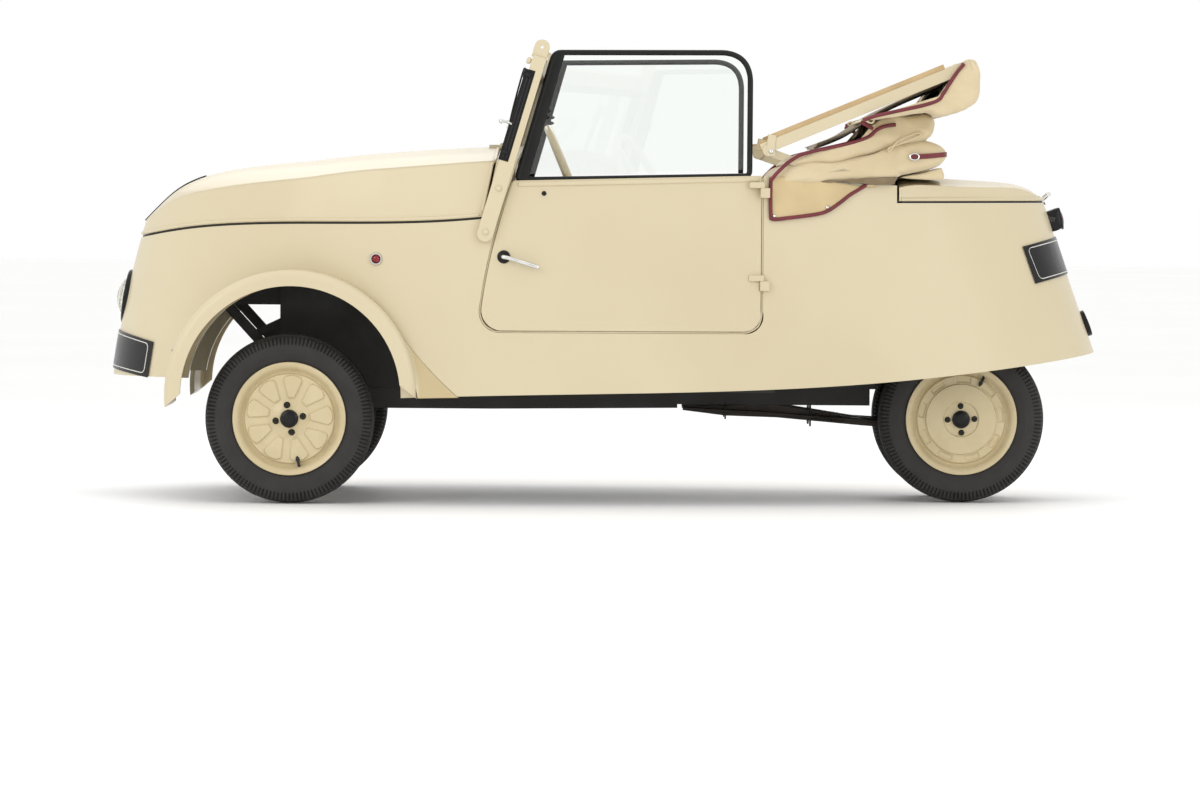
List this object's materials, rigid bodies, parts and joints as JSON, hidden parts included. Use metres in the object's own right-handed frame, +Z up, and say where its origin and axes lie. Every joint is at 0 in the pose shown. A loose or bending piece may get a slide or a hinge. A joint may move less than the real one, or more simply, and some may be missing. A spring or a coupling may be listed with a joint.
{
  "type": "electric two-seat open microcar",
  "caption": "Small open electric car with a boat tail, close-set rear wheels, flared front wings, rear-hinged doors, framed door windows and a folded canvas hood.",
  "frame": {"origin": "centre of the overall box on the ground under the tyres", "axes": "+X ahead to the nose, +Y to the car's left, +Z up"},
  "size_m": [2.6689, 1.208, 1.2235],
  "materials": {
    "cream_paint": "gloss",
    "black_steel": "satin",
    "black_enamel": "gloss",
    "grey_floor": "matt",
    "glass": "clear",
    "seat_cloth": "matt",
    "battery_case": "matt",
    "grey_iron": "satin",
    "spring_steel": "satin",
    "plate_black": "satin",
    "canvas": "matt",
    "chrome": "polished",
    "tyre": "matt",
    "cream_plastic": "gloss"
  },
  "bodies": {
    "body": {"chassis_frame": "black_steel", "cabin_floor": "grey_floor", "front_body": "cream_paint", "side_sills": "cream_paint", "tail_body": "cream_paint", "scuttle": "cream_paint", "bulkhead": "black_steel", "wheel_houses": "black_steel", "front_wings": "cream_paint", "dashboard": "cream_paint", "windscreen_frame": "cream_paint", "windscreen_sash": "black_enamel", "windscreen_glass": "glass", "seat_cushion": "seat_cloth", "seat_back": "seat_cloth", "steering_column": "black_enamel", "controls": "black_enamel", "batteries": "battery_case", "motor": "grey_iron", "rear_axle": "grey_iron", "rear_springs": "spring_steel", "front_axle": "black_steel", "front_spring": "spring_steel", "rear_deck": "black_steel", "headlamp": "black_enamel", "headlamp_lens": "glass", "number_plates": "plate_black", "tail_lamps": "black_enamel", "hood_frame": "cream_paint", "hood_canvas": "canvas", "hood_roll_ends": "canvas", "hood_header_cover": "canvas"},
    "bonnet": {"bonnet": "cream_paint", "nose_badge": "plate_black"},
    "boot_lid": {"boot_lid": "cream_paint"},
    "door_left": {"door_left": "cream_paint", "door_left_window_frame": "black_enamel", "door_left_glass": "glass", "door_left_handle": "chrome"},
    "door_right": {"door_right": "cream_paint", "door_right_window_frame": "black_enamel", "door_right_glass": "glass", "door_right_handle": "chrome"},
    "steering_wheel": {"steering_wheel": "cream_plastic"},
    "knuckle_left": {"knuckle_left": "grey_iron"},
    "knuckle_right": {"knuckle_right": "grey_iron"},
    "front_left_wheel": {"front_left_tyre": "tyre", "front_left_wheel": "cream_paint"},
    "front_right_wheel": {"front_right_tyre": "tyre", "front_right_wheel": "cream_paint"},
    "rear_wheel_pair": {"rear_tyres": "tyre", "rear_wheels": "cream_paint"}
  },
  "joints": [
    {"name": "steering", "type": "hinge", "parent": "body", "child": "steering_wheel", "pos_m": [0.08, 0.225, 0.82], "axis": [-0.9232, 0, 0.3843], "range_deg": [-280, 280]},
    {"name": "left_steer", "type": "hinge", "parent": "body", "child": "knuckle_left", "pos_m": [0.828, 0.385, 0.224], "axis": [0, 0, 1], "range_deg": [-28, 28]},
    {"name": "right_steer", "type": "hinge", "parent": "body", "child": "knuckle_right", "pos_m": [0.828, -0.385, 0.224], "axis": [0, 0, 1], "range_deg": [-28, 28]},
    {"name": "front_left_spin", "type": "hinge", "parent": "knuckle_left", "child": "front_left_wheel", "pos_m": [0.828, 0.455, 0.224], "axis": [0, 1, 0], "continuous": true},
    {"name": "front_right_spin", "type": "hinge", "parent": "knuckle_right", "child": "front_right_wheel", "pos_m": [0.828, -0.455, 0.224], "axis": [0, 1, 0], "continuous": true},
    {"name": "rear_spin", "type": "hinge", "parent": "body", "child": "rear_wheel_pair", "pos_m": [-0.962, 0, 0.224], "axis": [0, 1, 0], "continuous": true},
    {"name": "left_door", "type": "hinge", "parent": "body", "child": "door_left", "pos_m": [-0.415, 0.496, 0.6], "axis": [0, 0, 1], "range_deg": [0, 70]},
    {"name": "right_door", "type": "hinge", "parent": "body", "child": "door_right", "pos_m": [-0.415, -0.496, 0.6], "axis": [0, 0, -1], "range_deg": [0, 70]},
    {"name": "bonnet_hinge", "type": "hinge", "parent": "body", "child": "bonnet", "pos_m": [0.277, 0, 0.951], "axis": [0, -1, 0], "range_deg": [0, 55]},
    {"name": "boot_hinge", "type": "hinge", "parent": "body", "child": "boot_lid", "pos_m": [-0.779, 0, 0.882], "axis": [0, 1, 0], "range_deg": [0, 40], "deforming": ["hood_roll_ends"]}
  ],
  "couplings": [
    {"joint": "left_steer", "follows": "steering", "ratio": 0.1},
    {"joint": "right_steer", "follows": "steering", "ratio": 0.1}
  ]
}
